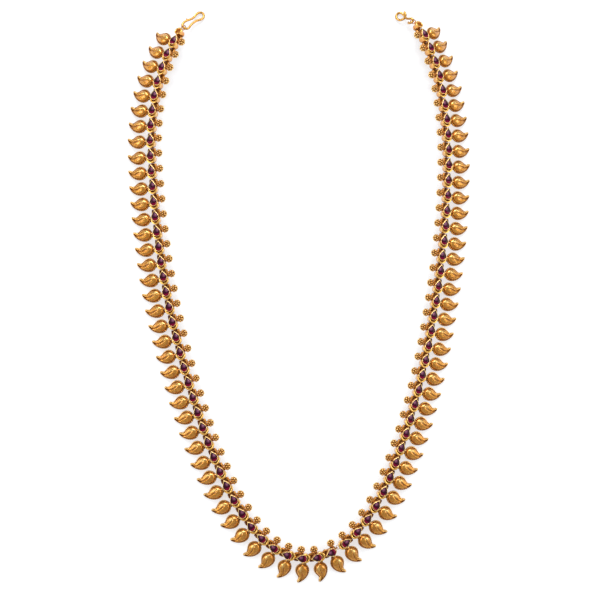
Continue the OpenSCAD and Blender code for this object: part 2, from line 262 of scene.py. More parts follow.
def stamp(name, form, at, smooth=True):
    """Joins a copy of the form at every place into one mesh object, in metres."""
    points = np.array(form.points)
    count = len(points)
    forward = np.concatenate(form.faces)
    backward = np.concatenate([face[::-1] for face in form.faces])
    spots, corners, own = [], [], []
    for number, place in enumerate(at):
        mirrored = np.linalg.det(place[:3, :3]) < 0
        spots.append(points @ place[:3, :3].T + place[:3, 3])
        corners.append((backward if mirrored else forward) + number * count)
        own.append(points + number * OWN_STEP)
    mesh = bpy.data.meshes.new(name)
    mesh.vertices.add(count * len(at))
    mesh.vertices.foreach_set("co", (np.concatenate(spots) * MM).ravel())
    corners = np.concatenate(corners)
    mesh.loops.add(len(corners))
    mesh.loops.foreach_set("vertex_index", corners)
    sizes = np.tile([len(face) for face in form.faces], len(at))
    mesh.polygons.add(len(sizes))
    mesh.polygons.foreach_set("loop_start", np.concatenate([[0], np.cumsum(sizes)[:-1]]))
    mesh.polygons.foreach_set("use_smooth", np.full(len(sizes), smooth))
    mesh.update(calc_edges=True)
    mesh.validate()
    if smooth:
        mesh.set_sharp_from_angle(angle=SHARP_ANGLE)
    tone = mesh.attributes.new("tone", "FLOAT", "POINT")
    tone.data.foreach_set("value", np.tile(form.tone, len(at)))
    place_in_form = mesh.attributes.new("own", "FLOAT_VECTOR", "POINT")
    place_in_form.data.foreach_set("vector", np.concatenate(own).ravel())
    print(f"{name}: {len(at)} of {form.triangles()} triangles, {len(at) * form.triangles()} in all")
    return placed(name, mesh)


def on_both_sides(name, form, at, smooth=True):
    """The form stamped at each side's places, as one object for each side of the neck."""
    return {side: stamp(f"{name}_{side}", form, at[side], smooth) for side in ENDS}


# %% [markdown]
# Most of a jeweller's shapes are loops of points, one row after another: a turned cup, a
# bent wire, a rim that follows a stone. One function joins such rows with faces, and the
# others only say where the rows run.

# %% Rows and balls
def skin(rows, near_cap=True, far_cap=True):
    """Faces between loops of equal length, with a flat face over the first and the last loop."""
    n, faces = len(rows[0]), []
    for r in range(len(rows) - 1):
        for i in range(n):
            a, b = r * n + i, r * n + (i + 1) % n
            faces.append([a, b, b + n, a + n])
    if near_cap:
        faces.append(list(range(n))[::-1])
    if far_cap:
        faces.append([(len(rows) - 1) * n + i for i in range(n)])
    return np.concatenate(rows), faces


def endless_skin(rows):
    """Faces between loops where the last loop is joined to the first one."""
    points, faces = skin(rows + [rows[0]], near_cap=False, far_cap=False)
    count = len(points) - len(rows[0])
    return points[:count], [[i % count for i in face] for face in faces]


def circle(sides, radius=1.0):
    a = np.arange(sides) * 2 * math.pi / sides
    return np.stack([radius * np.cos(a), radius * np.sin(a)], axis=1)


def lifted(outline, z):
    """A flat outline at a height."""
    return np.column_stack([outline, np.full(len(outline), z)])


def ball(middle, radius, sides=12, rows=7):
    angles = (np.arange(rows) + 0.5) * math.pi / rows - math.pi / 2
    return skin([lifted(circle(sides, radius * math.cos(a)), radius * math.sin(a)) + middle for a in angles])


print("a ball has", Form().add(*ball((0, 0, 0), 1)).triangles(), "triangles")

# %% [markdown]
# Rings, hooks, arms and stubs are all bent from round wire: a circle that is carried along a
# path and stays square to it. A Blender curve with a round bevel gives the same shape, but it
# can't be part of a form, so the rows of the wire are worked out here.

# %% Wires
# The two rows that dome the end of a wire, in degrees round from its side
DOME = (50, 75)


def wire(path, radius, sides, closed=False):
    """A round wire along a path, with domed ends or joined to itself."""
    path = np.asarray(path, float)
    if closed:
        along = np.roll(path, -1, axis=0) - np.roll(path, 1, axis=0)
    else:
        along = np.gradient(path, axis=0)
    along /= np.linalg.norm(along, axis=1)[:, None]
    across = np.cross([0, 0, 1], along)
    across /= np.linalg.norm(across, axis=1)[:, None]
    up = np.cross(along, across)
    rows = [p + radius * (circle(sides) @ np.stack([a, u])) for p, a, u in zip(path, across, up)]
    if closed:
        return endless_skin(rows)
    for end, sign in ((0, -1), (-1, 1)):
        for turn in DOME:
            c, s = math.cos(math.radians(turn)), math.sin(math.radians(turn))
            tip = path[end] + sign * radius * s * along[end]
            row = tip + radius * c * (circle(sides) @ np.stack([across[end], up[end]]))
            rows.insert(0 if end == 0 else len(rows), row)
    return skin(rows)


print("a short wire has", Form().add(*wire([(0, 0, 0), (1, 0, 0)], 1, sides=8)).triangles(), "triangles")

# %% [markdown]
# Outlines and bent wires are soft curves, and each is known from a few measured points. A
# Bezier curve needs two handles for each of them. This kind of curve needs none: it passes
# through every row of a short table, and carries any further columns along with it.

# %% Soft curves
def smooth_curve(table, steps, closed=False):
    """Points along a soft curve through all the rows of a table."""
    rows = np.asarray(table, float)
    before, after = (rows[-1:], rows[:2]) if closed else (rows[:1], rows[-1:])
    padded = np.concatenate([before, rows, after])
    points = []
    # Each stretch runs from b to c, and a and d give the directions at its ends
    for a, b, c, d in zip(padded, padded[1:], padded[2:], padded[3:]):
        for t in np.arange(steps) / steps:
            points.append(0.5 * (2 * b + (c - a) * t + (2 * a - 5 * b + 4 * c - d) * t * t
                                 + (3 * b - a - 3 * c + d) * t ** 3))
    return np.array(points if closed else points + [rows[-1]])


print("a curve through 3 rows has", len(smooth_curve([(0, 0), (1, 1), (2, 0)], 4)), "points")

# %% [markdown]
# ## The mango drop
#
# The drop is pressed from thin sheet: a puffed body with a few creases that run to its curled
# tip, inside a raised border. A sculpted mesh would be heavy, and a subdivided cage would
# round off the creases. Instead the outline is drawn once, every point of it is tied to a
# point of the drop's middle line, and rows run from the outline up to that line. The rows lie
# along the creases, so a crease is just a dip in the height of a row.

# %% The drop's outline and middle line
# Columns: outwards, towards the tip's side, position on the middle line
MANGO_EDGE = [
    (0.36, -0.75, 0.0), (0.75, -2.45, 0.04), (1.75, -4.0, 0.13), (3.3, -4.85, 0.24), (5.0, -5.12, 0.36),
    (6.9, -4.8, 0.48), (8.6, -4.1, 0.6), (10.1, -3.05, 0.71), (11.3, -1.8, 0.81), (12.15, -0.5, 0.9),
    (12.6, 0.5, 0.97), (12.68, 1.15, 1.0), (12.3, 1.65, 1.0), (11.6, 1.75, 0.98), (10.8, 1.4, 0.9),
    (10.0, 1.18, 0.82), (9.1, 1.4, 0.74), (8.2, 1.98, 0.65), (7.1, 2.72, 0.55), (5.9, 3.25, 0.45),
    (4.6, 3.42, 0.35), (3.1, 3.1, 0.24), (1.7, 2.15, 0.12), (0.7, 0.8, 0.04),
]
# The rows of that table that lie on the belly's side, and the points for each row
BELLY_ROWS = 10
CURVE_STEPS = 4
# Columns: outwards, towards the tip's side, height of the body above the drop's underside
MANGO_MIDDLE = [
    (1.7, -0.55, 2.4), (3.3, -0.35, 2.9), (5.1, -0.6, 2.9), (7.1, -0.95, 2.5),
    (9.0, -0.95, 2.05), (10.6, -0.35, 1.7), (11.8, 0.75, 1.5),
]
MIDDLE_STEPS = 12


def along_middle(v):
    """The points of the middle line at the positions v, from 0 at the root to 1 at the tip."""
    line = smooth_curve(MANGO_MIDDLE, MIDDLE_STEPS)
    at = np.linspace(0, 1, len(line))
    return np.stack([np.interp(v, at, line[:, i]) for i in range(3)], axis=-1)


edge = smooth_curve(MANGO_EDGE, CURVE_STEPS, closed=True)
outline, v = edge[:, :2], np.clip(edge[:, 2], 0, 1)
on_belly = np.arange(len(edge)) < BELLY_ROWS * CURVE_STEPS
middle = along_middle(v)
inward = middle[:, :2] - outline
width = np.linalg.norm(inward, axis=1)
inward /= width[:, None]
print("points round the drop:", len(outline))

# %% [markdown]
# The back is a flat plate, and the border stands up from its edge, with small notches along the
# belly. In edit mode this would take an inset and a few extrusions. Here both are rows at their
# own distance from the outline, so each row can have its grime and its notches. Where the drop
# gets narrow the distances shrink, so that no row crosses the middle line.

# %% The drop's back and border
# Rows from the middle of the back out to its edge, and on over the border to the body's foot. Columns:
# distance from the outline, height, tone (grime and painted shade, below zero rubbed bright with a painted
# highlight), 1 where notches cut the row, painted shade that the belly's side has more, as it faces away from
# the main light
MANGO_RIM = [
    (1.2, 0.12, 0.6, 0, 0), (0.3, 0.03, 0.5, 0, 0), (0.08, 0.2, 0.4, 0, 0), (0.0, 0.45, 0.5, 0, 0.4),
    (0.08, 0.8, 0.1, 1, 0.4), (0.28, 1.08, -0.5, 1, 0.4), (0.58, 1.1, -0.5, 1, 0.4),
    (0.78, 0.9, 0.5, 0, 0.4), (0.9, 0.7, 1.0, 0, 0.4),
]
# Where outline and middle line are nearer than this, the distances shrink
NARROW = 2.2
# The notches: how many, where they start along the middle line, how far they reach, how deep
NOTCHES = 8
NOTCH_START = 0.2
NOTCH_REACH = 0.65
NOTCH_DEPTH = 0.3
# Painted shade for each millimetre of a notch's depth
NOTCH_SHADE = 4


def inside(far, height):
    """The drop's outline moved inwards by far. Far and height may differ from point to point."""
    return np.column_stack([outline + inward * far[:, None], np.broadcast_to(height, len(outline))])


squeeze = np.minimum(1, width / NARROW)
notch = np.sin(np.clip((v - NOTCH_START) / NOTCH_REACH, 0, 1) * math.pi * NOTCHES) ** 2 * on_belly
rows, shade_and_grime = [], []
for far, height, shade_and_dirt, notched, belly_shade in MANGO_RIM:
    cut = notch * NOTCH_DEPTH * notched
    rows.append(inside(far * squeeze, height - cut))
    # Each row's tone: painted shade in the notches and on the belly's side, with the row's own grime and
    # painted shade
    shade_and_grime.append(shade_and_dirt + NOTCH_SHADE * cut + belly_shade * on_belly)
print("rows of the back and the border:", len(rows))

# %% [markdown]
# The creases run from the root to the curl and wander a little. A displacement texture could
# carve them, but a table with one row for each is easier to set against a photo.

# %% The creases
# Columns: where a crease starts and ends across the body, from -1 at the belly's edge to 1 at
# the edge of the tip's side, its depth and its width
CREASES = [
    (0.36, -0.5, 0.66, 0.13), (0.62, 0.25, 0.15, 0.08),
    (-0.3, -0.6, 0.2, 0.09), (-0.62, -0.75, 0.16, 0.09),
]
# Where they start and end along the middle line, and the lengths over which they come and go
CREASE_START = 0.1
CREASE_COMES = 0.26
CREASE_END = 1.02
CREASE_GOES = 0.1
# Share of its depth that a crease has at the root, and how it deepens and widens to the tip
ROOT_DEPTH = 0.5
DEEPENS = 0.9
WIDENS = 0.2


def bell(at, middle, reach):
    """1 at the middle, and less and less away from it, as in a bell's outline."""
    return np.exp(-(((at - middle) / reach) ** 2))


def crease_depth(across, v):
    """How far the creases dip at a place of the body, in millimetres."""
    depth = np.zeros_like(across)
    comes = np.clip((v - CREASE_START) / CREASE_COMES, 0, 1)
    fade = comes * np.clip((CREASE_END - v) / CREASE_GOES, 0, 1)
    for start, end, deep, wide in CREASES:
        line = start + (end - start) * v
        depth += deep * (ROOT_DEPTH + DEEPENS * v) * fade * bell(across, line, wide + WIDENS * v * v)
    return depth


print("creases:", len(CREASES), "deepest in mm:", crease_depth(np.linspace(-1, 1, 41), 0.6).max().round(2))

# %% [markdown]
# The body swells up from the border to the middle line like a cushion. It could be sculpted, but a formula
# for its height keeps it smooth with few rows. Its shoulder near the root, on the tip's side, stands out most
# and gets a painted highlight.

# %% The drop's body
BODY_ROWS = 13
# Share of the spacing that crowds the rows near the border, where the body is steep
CROWDED = 0.45
# Roundness of the body: 2 would make an ellipse, and more is flatter on top
ROUNDNESS = 2.3
# The creases run out towards the border at this pace
CREASE_PACE = 1.4
# Painted shade for each millimetre of a crease's depth, at the body's foot, and at most
CREASE_SHADE = 5
FOOT_SHADE = 0.7
FOOT_SHADE_ROWS = 1.5
MOST_SHADE = 1.4
# The painted highlight on the shoulder: how bright, and its middle and its reach along and across the body
HIGHLIGHT_DEPTH = 0.9
HIGHLIGHT_ALONG = (0.2, 0.15)
HIGHLIGHT_ACROSS = (0.35, 0.3)

flank = np.where(on_belly, -1.0, 1.0)
foot, foot_z = MANGO_RIM[-1][0] * squeeze, MANGO_RIM[-1][1]
for step in range(1, BODY_ROWS):
    share = CROWDED * (1 - math.cos(step / BODY_ROWS * math.pi / 2)) + (1 - CROWDED) * step / BODY_ROWS
    swell = math.sqrt(1 - (1 - share) ** ROUNDNESS)
    across = flank * (1 - share)
    dip = crease_depth(across, v)
    # A painted highlight on the shoulder near the root
    shoulder_highlight = HIGHLIGHT_DEPTH * bell(v, *HIGHLIGHT_ALONG) * bell(across, *HIGHLIGHT_ACROSS)
    height = foot_z + (middle[:, 2] - foot_z) * swell - dip * np.minimum(1, swell * CREASE_PACE)
    rows.append(inside(foot + (width - foot) * share, height))
    # Painted shade in the creases and in the groove at the body's foot
    shade_and_dirt = np.clip(dip * CREASE_SHADE + FOOT_SHADE * (1 - step / FOOT_SHADE_ROWS), 0, MOST_SHADE)
    shade_and_grime.append(shade_and_dirt - shoulder_highlight)
print("rows of the whole drop:", len(rows))

# %% [markdown]
# The last row closes on a ridge along the middle line, where a single point in the middle would
# draw all the creases together. Each point of the row is joined to the nearest one of the
# ridge, so most faces there have four corners and the rest three.

# %% Close the drop on its middle line
RIDGE_POINTS = 21
# The root of the drop on its link
MANGO_ROOT = [2.95, 0.65, MANGO_Z]

points, faces = skin(rows, far_cap=False)
last_row = len(points) - len(outline)
ridge_v = np.linspace(0.0, 1.0, RIDGE_POINTS)
ridge_dip = crease_depth(np.zeros(RIDGE_POINTS), ridge_v)
ridge = along_middle(ridge_v)
ridge[:, 2] -= ridge_dip
nearest = len(points) + np.abs(v[:, None] - ridge_v).argmin(axis=1)
for i in range(len(outline)):
    j = (i + 1) % len(outline)
    corners = [last_row + i, last_row + j, nearest[j]]
    faces.append(corners if nearest[i] == nearest[j] else corners + [nearest[i]])
# The ridge gets painted shade where the creases run along it
shade_and_grime.append(np.clip(ridge_dip * CREASE_SHADE, 0, MOST_SHADE))
points = np.concatenate([points, ridge]) + MANGO_ROOT
drop = Form().add(points, faces, np.concatenate(shade_and_grime))
print("the body of the drop has", drop.triangles(), "triangles")

# %% [markdown]
# The tip ends in a curl, and the drop hangs on a short stub. Both are rubbed bright and carry a painted
# highlight, and a dark strut beside the stub is painted shade. All three are short wires that reach into the
# body, which looks like solder and needs no Boolean modifier.

# %% The curl, the stub and the dark strut of painted shade
# Columns: outwards, towards the tip's side, up. The curl is measured from the drop's root.
CURL = [(9.6, 0.4, 1.25), (10.7, 0.75, 1.35), (11.5, 1.05, 1.3), (12.0, 1.25, 1.1)]
CURL_R = 0.5
STUB = [(2.3, -0.05, 4.5), (3.1, -0.05, 4.7), (4.0, -0.05, 4.6)]
STUB_R = 0.62
# A dark wire that paints the shade in the corner between cup and drop
SHADE_STRUT = [(2.7, -1.0, 3.7), (3.2, -1.5, 3.9), (3.7, -2.0, 4.1)]
SHADE_STRUT_R = 0.5

# The curl and the stub are rubbed bright and carry a painted highlight
drop.add(*wire(np.array(CURL) + MANGO_ROOT, CURL_R, sides=10), RUBBED_AND_LIT)
drop.add(*wire(STUB, STUB_R, sides=10), RUBBED_AND_LIT)
drop.add(*wire(SHADE_STRUT, SHADE_STRUT_R, sides=8), DARK)
mangos = on_both_sides("mangos", drop, DROP_PLACES)

# %% [markdown]
# ## The bezel
#
# A strip of gold stands round each stone, and its edge is pushed over the stone and polished.
# A curve with a bevel profile could follow the pear, but it would fold over itself at the sharp
# tip. So one outline, a round end and two long arcs that meet in the tip, is drawn again and
# again: each row has its own distance inwards and its own height.

# %% The pear outline
STONE_Y = 0.1
# The bezel's round end and tip, and how much faster the tip moves in than the round end
BEZEL_R = 2.6
BEZEL_TIP = 4.35
PEAR_DRAW = 1.7
# How far the round end goes on beyond a half circle, in degrees
PEAR_TURN = 33
ROUND_POINTS = 26
SIDE_POINTS = 11


def pear(inset):
    """The outline of stone and bezel, moved inwards. It starts at the left end of the round."""
    r, tip = BEZEL_R - inset, BEZEL_TIP - PEAR_DRAW * inset
    start = math.radians(PEAR_TURN)
    swing = (tip * tip - r * r) / (2 * (r - tip * math.sin(start)))
    a = np.linspace(math.pi - start, 2 * math.pi + start, ROUND_POINTS, endpoint=False)
    round_end = np.stack([r * np.cos(a), r * np.sin(a)], axis=1)
    y = r * math.sin(start) + (tip - r * math.sin(start)) * np.arange(SIDE_POINTS) / SIDE_POINTS
    rising = np.stack([np.sqrt((swing + r) ** 2 - (y + swing * math.sin(start)) ** 2)
                       - swing * math.cos(start), y], axis=1)
    falling = np.concatenate([[[0, tip]], rising[:0:-1] * [-1, 1]])
    return np.concatenate([round_end, rising, falling]) + [0, STONE_Y]


print("points round the pear:", len(pear(0)))

# %% The bezel
# Columns: distance inwards, height, tone: grime and painted shade low on the wall, below zero the rubbed rim
# with a painted highlight
BEZEL = [
    (0.12, 3.15, 1.0), (0.0, 3.25, 1.0), (-0.02, 3.9, 0.7), (-0.02, 4.6, 0.3), (-0.02, 5.4, 0.0),
    (0.0, 5.8, -0.6), (0.07, 6.0, -1.0), (0.2, 6.1, -1.0), (0.33, 6.08, -1.0), (0.41, 5.97, -0.3),
    (0.45, 5.75, 1.0), (0.45, 4.6, 1.3),
]


def walled(outline_at, table):
    """A form whose rows follow an outline. Columns: distance inwards, height, tone, which is grime and
    painted shade above zero and rubbing with painted highlight below.
    """
    points, faces = skin([lifted(outline_at(inset), z) for inset, z, shade_and_dirt in table])
    return Form().add(points, faces, np.repeat([shade_and_dirt for inset, z, shade_and_dirt in table], len(outline_at(0))))


bezels = on_both_sides("bezels", walled(pear, BEZEL), STONE_PLACES)

# %% [markdown]
# ## The cup behind each stone
#
# The round end of every stone sits in a deep cup that stands behind it as a bright crescent.
# It is turned, as on a lathe, and a Screw modifier could do that too. But under its back there
# is room for the ring and for the next link's eye. The wall's points there are moved inwards to
# the room's edge, which is lighter and safer than to cut the room out with a Boolean modifier.

# %% The cup
CUP_Y = -1.4
CUP_R = 3.0
# The room under the back: its distance, half its width, its lowest and its highest point
ROOM_Y = 2.87
ROOM_X = 1.62
ROOM_LOW = 1.4
ROOM_TOP = 3.1
# Columns: radius, height, shift towards the stone, tone: grime and painted shade, below zero the rubbed rim
# with a painted highlight
CUP = [
    (1.55, 0.0, 0, 0.9), (1.72, 0.08, 0, 0.5), (2.4, 1.38, 0, 0.3), (2.42, 1.42, 0, 0.3), (2.6, 2.5, 0, 0.25),
    (2.68, 3.06, 0, 0.2), (2.7, 3.14, 0, 0.2), (2.82, 4.2, 0, 0.0), (2.93, 4.8, 0, -0.2), (3.0, 5.1, 0, -0.5),
    (2.93, 5.32, 0.02, -1.0), (2.7, 5.46, 0.05, -1.0), (2.3, 5.44, 0.12, -1.0), (2.05, 5.26, 0.18, -0.3),
    (1.97, 4.9, 0.2, 0.9), (1.95, 4.4, 0.2, 1.2), (1.7, 4.1, 0.2, 1.3), (0.9, 4.05, 0.2, 1.3),
]
CUP_SIDES = 36
# The table's last rows lie in the hollow, which is dark with painted shade. Its middle is painted brighter,
# for the light that the bezel throws back into it: the least share of the painted shade, what the sides add
# to that, the place of the middle and how far it reaches
HOLLOW_ROWS = 4
HOLLOW_LEAST = 0.4
HOLLOW_SIDES = 0.7
HOLLOW_X = -0.3
HOLLOW_WIDE = 1.3


def cup(rim_r, y, hollow_shade=1.0):
    """Points, faces and tone of a cup, with painted shade in its hollow. Its foot keeps its size, and the
    rest follows the rim.
    """
    scale = rim_r / CUP_R
    away = math.copysign(1, y)
    rows = [lifted(circle(CUP_SIDES, r * scale if z > ROOM_LOW else r), z) + [0, y - away * shift, 0]
            for r, z, shift, shade_and_dirt in CUP]
    points, faces = skin(rows)
    shade_and_grime = np.repeat([shade_and_dirt for r, z, shift, shade_and_dirt in CUP], CUP_SIDES)
    hollow = len(shade_and_grime) - HOLLOW_ROWS * CUP_SIDES
    off_middle = np.minimum(1, np.abs(points[hollow:, 0] - HOLLOW_X) / HOLLOW_WIDE)
    shade_and_grime[hollow:] *= hollow_shade * (HOLLOW_LEAST + HOLLOW_SIDES * off_middle)
    return points, faces, shade_and_grime


def with_room(points, edge_y):
    """Moves the wall out of the room for the ring, which lies in front of edge_y."""
    x, y, z = points.T
    in_room = (y < edge_y) & (np.abs(x) < ROOM_X) & (z > ROOM_LOW) & (z < ROOM_TOP)
    points = points.copy()
    points[in_room, 1] = edge_y
    return points


points, faces, shade_and_dirt = cup(CUP_R, CUP_Y)
stone_cup = Form().add(with_room(points, -ROOM_Y), faces, shade_and_dirt)
print("the cup has", stone_cup.triangles(), "triangles")

# %% [markdown]
# ## The plate, its eyes and its arms
#
# Cup and bezel stand on a small plate, with a flat eye at each end for the jump ring. Two arms run on from
# the plate past the joint, beside the tip of the stone, each with a granule on its shoulder. Under the joint
# lies a dark tongue, a painted shadow in the gap between the links.
#
# A jeweller solders all this together. Here the parts simply reach into each other, so most of
# them can be balls and wires, and only the plate and the eyes need forms of their own.

# %% The plate
# Half the width and half the length, and the radius of the corners
PLATE_X = 2.0
PLATE_Y = 2.87
PLATE_CORNER = 0.7
CORNER_POINTS = 5
# Columns: distance inwards, height, tone: grime and painted shade
PLATE_ROWS = [(0.15, 1.82, 0.7), (0.0, 1.95, 0.7), (0.0, 3.35, 0.6), (0.15, 3.48, 0.8)]


def plate_outline(inset):
    corners = []
    for x, y, first in ((1, 1, 0), (-1, 1, 90), (-1, -1, 180), (1, -1, 270)):
        a = np.radians(first + np.linspace(0, 90, CORNER_POINTS))
        middle = np.array([x * (PLATE_X - PLATE_CORNER), y * (PLATE_Y - PLATE_CORNER)])
        corners.append(middle + (PLATE_CORNER - inset) * np.stack([np.cos(a), np.sin(a)], axis=1))
    return np.concatenate(corners)


base = walled(plate_outline, PLATE_ROWS)
print("the bare plate has", base.triangles(), "triangles")

# %% The eyes for the jump rings
RING_R = 1.25
# An eye: its outer radius, the radius of its hole, half its thickness, points round it
LUG = (0.92, 0.52, 0.2, 18)
# How far an eye's edges are softened
EYE_SOFT = 0.08


def eye(middle, outer, hole, half, sides, upright=True):
    """A flat eye with softened edges. An upright one stands across the row."""
    lower = [(hole, EYE_SOFT - half), (hole + EYE_SOFT, -half),
             (outer - EYE_SOFT, -half), (outer, EYE_SOFT - half)]
    upper = [(r, -z) for r, z in reversed(lower)]
    points, faces = endless_skin([lifted(circle(sides, r), z) for r, z in lower + upper])
    if upright:
        points = points[:, [2, 0, 1]]
    return points + middle, faces


print("an eye has", len(eye((0, 0, 0), *LUG)[1]), "faces")

# %% Eyes, shoulders, arms and tongue
# Columns: outwards, along the row, up
SHOULDER = (2.2, 3.27, 2.65)
SHOULDER_R = 0.7
ARM = [(1.9, 2.2, 2.9), (2.15, 3.3, 2.9), (2.1, 4.7, 2.7)]
ARM_R = 0.6
# The arm on the drop's side gets more painted shade than the one on the bead's side
ARM_TONES = {-1: 0.35, 1: 1.1}
# A dark tongue under the joint: a painted shadow in the gap between the links
SHADOW_TONGUE_MIDDLE = np.array([0.4, 3.7])
SHADOW_TONGUE_SIZE = np.array([2.8, 2.0])
SHADOW_TONGUE_SIDES = 20
# Columns: share of the tongue's size, height
SHADOW_TONGUE_ROWS = [(0.9, 0.9), (1.0, 1.0), (1.0, 1.2), (0.9, 1.35), (0.6, 1.9)]

# Eyes and shoulders take a dull tone of painted shade
for way in (-1, 1):
    base.add(*eye((0, way * (REACH / 2 - RING_R), EYE_Z), *LUG), DULL)
    base.add(*ball(np.array(SHOULDER) * [way, 1, 1], SHOULDER_R), DULL)
    base.add(*wire(np.array(ARM) * [way, 1, 1], ARM_R, sides=12), ARM_TONES[way])
shadow_tongue = [lifted(SHADOW_TONGUE_MIDDLE + circle(SHADOW_TONGUE_SIDES, r) * SHADOW_TONGUE_SIZE, z) for r, z in SHADOW_TONGUE_ROWS]
base.add(*skin(shadow_tongue), DARK)
plates = on_both_sides("plates", base, STONE_PLACES)

# %% [markdown]
# The cups are stamped at the same places, but for one. The first stone of the right side still
# points to the left hook, so its round end meets the next one's, and the two share a cup.

# %% Stamp the cups
cups = on_both_sides("cups", stone_cup, STONE_PLACES | {"right": STONE_PLACES["right"][1:]})

# %% [markdown]
# ## The flower bead
#
# The bead is a ball covered with granules: one on top, a row of six, nine round its middle and eight more
# below. Granules are little balls of gold that were melted on charcoal, so plain round meshes are right.
# Painted shade grows towards the core, in the gaps between the granules, and the outer caps of the granules
# carry a painted highlight.

# %% The flower bead
FLOWER = np.array([-5.1, 1.6, 4.05])
CORE_R = 1.55
# The core shows only in the gaps between the granules, dark with painted shade
CORE_TONE = 1.3
# Columns: number of granules, distance from the bead's axis, height from its middle, radius,
# turn of the row in steps from granule to granule
GRANULES = [
    (1, 0.0, 1.55, 0.7, 0.0), (6, 1.2, 1.08, 0.7, 0.5), (9, 1.82, 0.05, 0.7, 0.0),
    (7, 1.25, -1.0, 0.64, 0.5), (1, 0.0, -1.45, 0.6, 0.0),
]
# At this distance from the bead's middle a granule has no painted tone. Further out it gets a painted
# highlight and further in painted shade, by one step of tone for each length TONE_FADE.
CLEAN_AT = 2.12
TONE_FADE = 0.26
BRIGHTEST = -1.0
# The neck that joins bead and plate, darkened with painted shade, and a dark ball of painted shade in the
# corner beside it
NECK = [(-3.5, 1.6, 4.0), (-2.9, 1.6, 4.05), (-2.2, 1.55, 4.1)]
NECK_R = 0.5
SHADE_BALL = (-2.95, 0.6, 3.9)
SHADE_BALL_R = 0.55


def flower():
    form = Form().add(*ball(FLOWER, CORE_R, sides=14, rows=8), CORE_TONE)
    for number, far, z, radius, shift in GRANULES:
        for i in range(number):
            a = (i + shift) * 2 * math.pi / number
            middle = FLOWER + [far * math.cos(a), far * math.sin(a), z]
            points, faces = ball(middle, radius, sides=10, rows=6)
            depth = np.linalg.norm(points - FLOWER, axis=1)
            form.add(points, faces, np.clip((CLEAN_AT - depth) / TONE_FADE, BRIGHTEST, CORE_TONE))
    return form


bead = flower()
# The neck takes painted shade, and the ball beside it is painted shade
bead.add(*wire(NECK, NECK_R, sides=10), SHADED)
bead.add(*ball(SHADE_BALL, SHADE_BALL_R, sides=10, rows=6), DARK)
flowers = on_both_sides("flowers", bead, DROP_PLACES)

# %% [markdown]
# ## The rubies
#
# Each stone is cut as a pear: an almost flat table, two rows of facets down to the girdle and a
# deep back. The light falls in at the tip and glows out of the round end, as in any deep red
# stone. Facets have to look flat, so this mesh isn't smoothed, and each facet has points of its
# own, which lets its tone differ from its neighbour's.

# %% Cut a stone
STONE_SIDES = 20
# Columns: distance inwards from the bezel's outline, height, turn of the row in half facets,
# how strongly the row shines on the tip's side, how strongly it glows on the round side
STONE_ROWS = [
    (1.9, 4.6, 0, 0.0, 0.0), (1.2, 4.9, 1, 0.0, 0.3), (0.4, 5.5, 0, 0.0, 0.6), (0.4, 5.75, 0, 0.1, 0.7),
    (0.72, 6.12, 1, 0.9, 1.0), (1.22, 6.4, 0, 1.0, 0.8), (1.85, 6.43, 1, 0.9, 0.4), (2.35, 6.43, 0, 0.5, 0.0),
]


def stone_row(inset, z, turn):
    """A row of corners at equal distances round the pear, the first one at its tip."""
    loop = pear(inset)
    loop = np.concatenate([loop, loop[:1]])
    length = np.concatenate([[0], np.cumsum(np.linalg.norm(np.diff(loop, axis=0), axis=1))])
    tip = length[ROUND_POINTS + SIDE_POINTS]
    at = (tip + (np.arange(STONE_SIDES) + turn / 2) * length[-1] / STONE_SIDES) % length[-1]
    return np.column_stack([np.interp(at, length, loop[:, 0]), np.interp(at, length, loop[:, 1]),
                            np.full(STONE_SIDES, z)])


def stone():
    """Points and facets. Between rows turned against each other, facets have three corners."""
    points, faces = skin([stone_row(*row[:3]) for row in STONE_ROWS])
    facets = []
    for face in faces:
        near_turn, far_turn = (STONE_ROWS[face[i] // STONE_SIDES][2] for i in (0, -1))
        if len(face) > 4 or near_turn == far_turn:
            facets.append(face)
            continue
        a, b, c, d = face
        facets += [[a, b, d], [b, c, d]] if near_turn < far_turn else [[a, b, c], [a, c, d]]
    return points, facets


corners, facets = stone()
print("facets on each stone:", len(facets))

# %% [markdown]
# Each facet of a real stone mirrors another bit of the room, so it differs from its neighbours.
# Traced light could show that, but at this size it would be noise. So the tone says how each
# facet looks: it shines near the tip, is dark in the middle and glows at the round end.

# %% The light in the rubies
# How far the tones of facets that follow each other are set off from the stone's own
FACET_STEPS = (0.0, 0.16, -0.08, 0.1, -0.14)
# The light shines in the stone on the bead's side of the tip: the middle and the reach of this
# glint along and across the stone, and the reach of the glow
GLINT_ALONG = (1.2, 1.2)
GLINT_ACROSS = (-0.7, 1.0)
GLOW_REACH = 1.2


def shine(points):
    """Tone of the stone: 0 shines near the tip, 0.5 is dark, 1 glows at the round end."""
    x, y = points[:, 0], points[:, 1] - STONE_Y
    at_tip, at_round = np.repeat([row[3:] for row in STONE_ROWS], STONE_SIDES, axis=0).T
    glint = bell(y, *GLINT_ALONG) * bell(x, *GLINT_ACROSS)
    return 0.5 - 0.5 * glint * at_tip + 0.5 * np.clip(-y / GLOW_REACH, 0, 1) * at_round


gem = Form()
tones = shine(corners)
for number, facet in enumerate(facets):
    own_tone = tones[facet]
    flat_tone = own_tone.mean() + FACET_STEPS[number % len(FACET_STEPS)]
    gem.add(corners[facet], [list(range(len(facet)))], (own_tone + flat_tone) / 2)
rubies = on_both_sides("rubies", gem, STONE_PLACES, smooth=False)

# %% [markdown]
# ## Rings, end cups and hooks
#
# Jump rings of round wire hold the row together, one at every joint. A torus would do for
# them too, but a closed wire is at hand.

